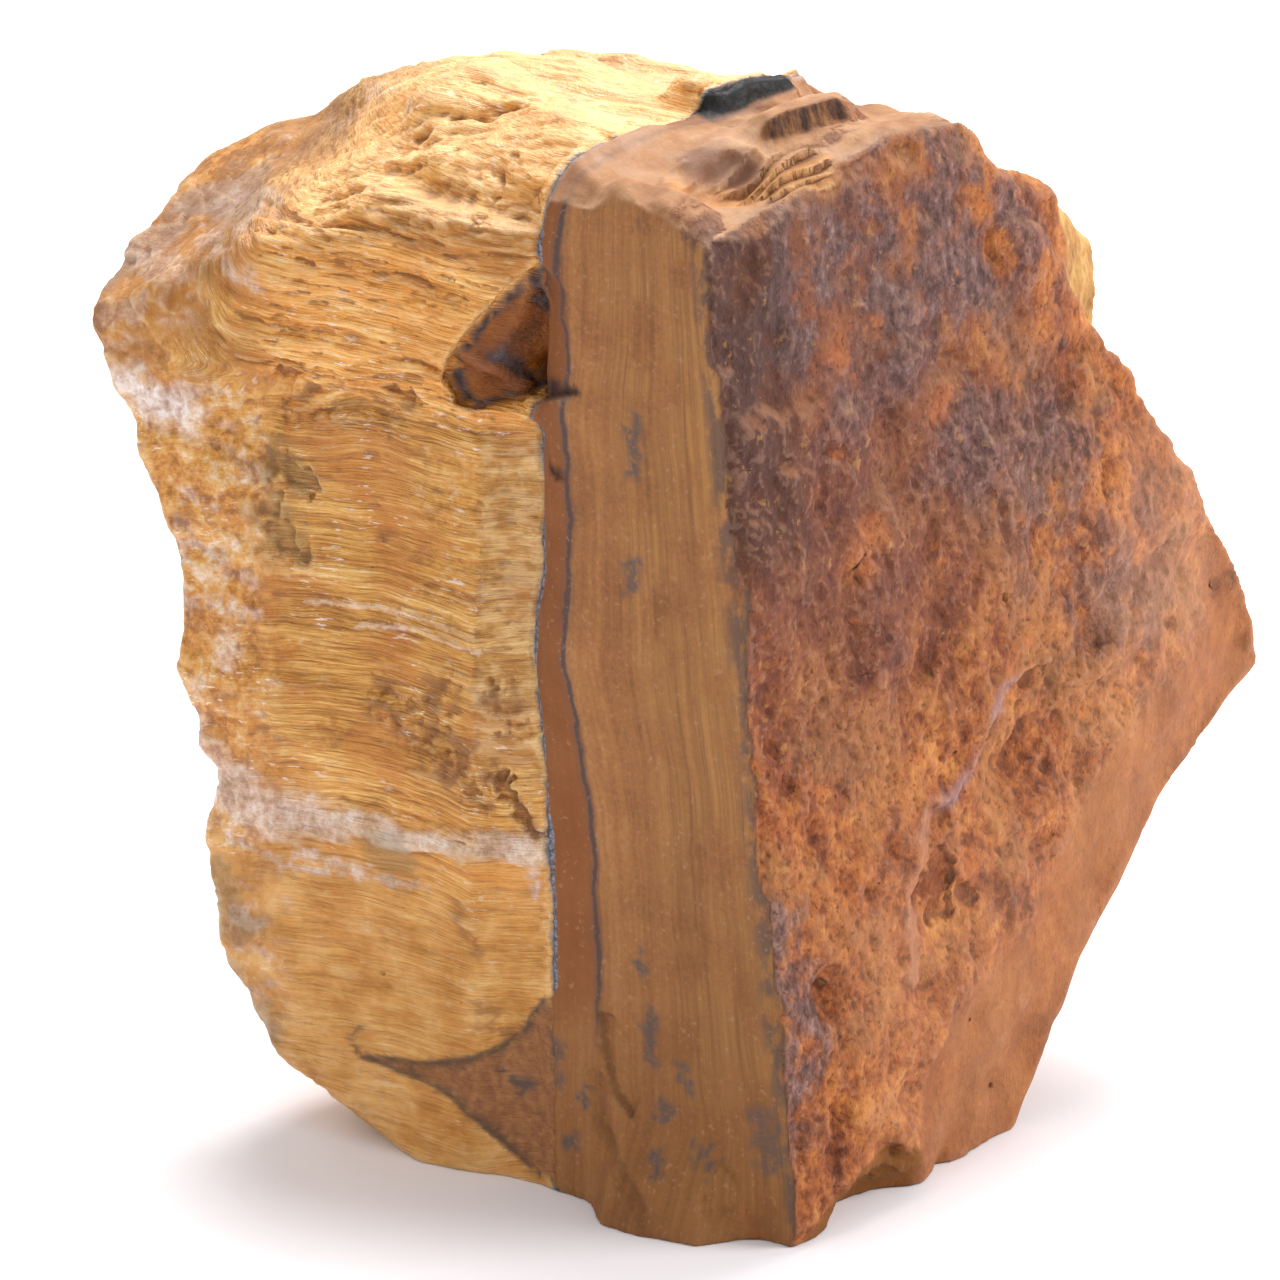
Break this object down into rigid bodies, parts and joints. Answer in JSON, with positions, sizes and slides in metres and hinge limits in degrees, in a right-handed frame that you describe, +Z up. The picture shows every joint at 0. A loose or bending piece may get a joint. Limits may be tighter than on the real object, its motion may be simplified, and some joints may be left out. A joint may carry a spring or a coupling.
{
  "type": "rough tiger's eye stone",
  "caption": "Rough broken piece of golden fibrous tiger's-eye vein, still joined to its brown banded ironstone; rests upright on a flat patch.",
  "frame": {"origin": "on the flat patch that the stone rests on, under the middle of the stone", "axes": "+Z up; +X across the layers, from the vein's far wall to the rusty bedding face of the ironstone; the clean break across the layers faces mostly -Y"},
  "size_m": [0.0557, 0.0618, 0.0711],
  "materials": {
    "stone": "rough broken stone: golden silky vein on one side, matt brown ironstone on the other"
  },
  "bodies": {
    "root": {"stone": "stone"}
  },
  "joints": []
}
